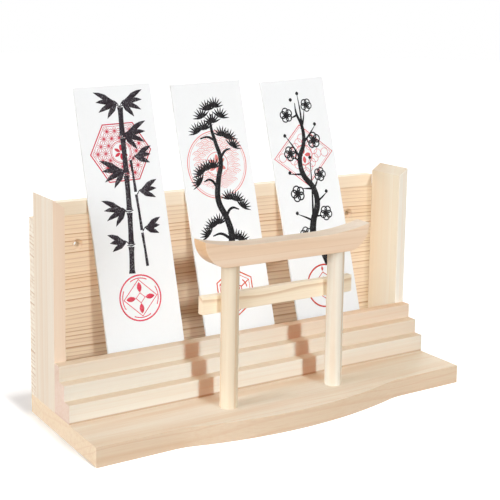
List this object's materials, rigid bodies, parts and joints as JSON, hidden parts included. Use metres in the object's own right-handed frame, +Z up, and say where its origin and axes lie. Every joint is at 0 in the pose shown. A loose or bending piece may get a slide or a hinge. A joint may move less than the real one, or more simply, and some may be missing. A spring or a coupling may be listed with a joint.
{
  "type": "household shinto shelf",
  "caption": "Wooden household altar shelf: bowed base, three steps, side panels, back board, small torii gate, and tall tablets leaning behind the steps.",
  "frame": {"origin": "middle of the base board's underside, taken over the rectangle behind its bowed front", "axes": "+X to the right along the shelf's width, +Y to the back, towards the wall, +Z up"},
  "size_m": [0.34, 0.1481, 0.2576],
  "materials": {
    "base_wood": "satin",
    "step_wood": "satin",
    "panel_wood": "satin",
    "back_wood": "satin",
    "rail_wood": "satin",
    "post_wood": "satin",
    "lintel_wood": "satin",
    "tie_wood": "satin",
    "tablet_paper": "matte"
  },
  "bodies": {
    "root": {"base_board": "base_wood", "step_lower": "step_wood", "step_middle": "step_wood", "step_upper": "step_wood", "side_panel_left": "panel_wood", "side_panel_right": "panel_wood", "back_board": "back_wood", "back_rail": "rail_wood", "torii_post_left": "post_wood", "torii_post_right": "post_wood", "torii_lintel": "lintel_wood", "torii_tie_beam": "tie_wood", "tablet_left": "tablet_paper", "tablet_middle": "tablet_paper", "tablet_right": "tablet_paper"}
  },
  "joints": []
}
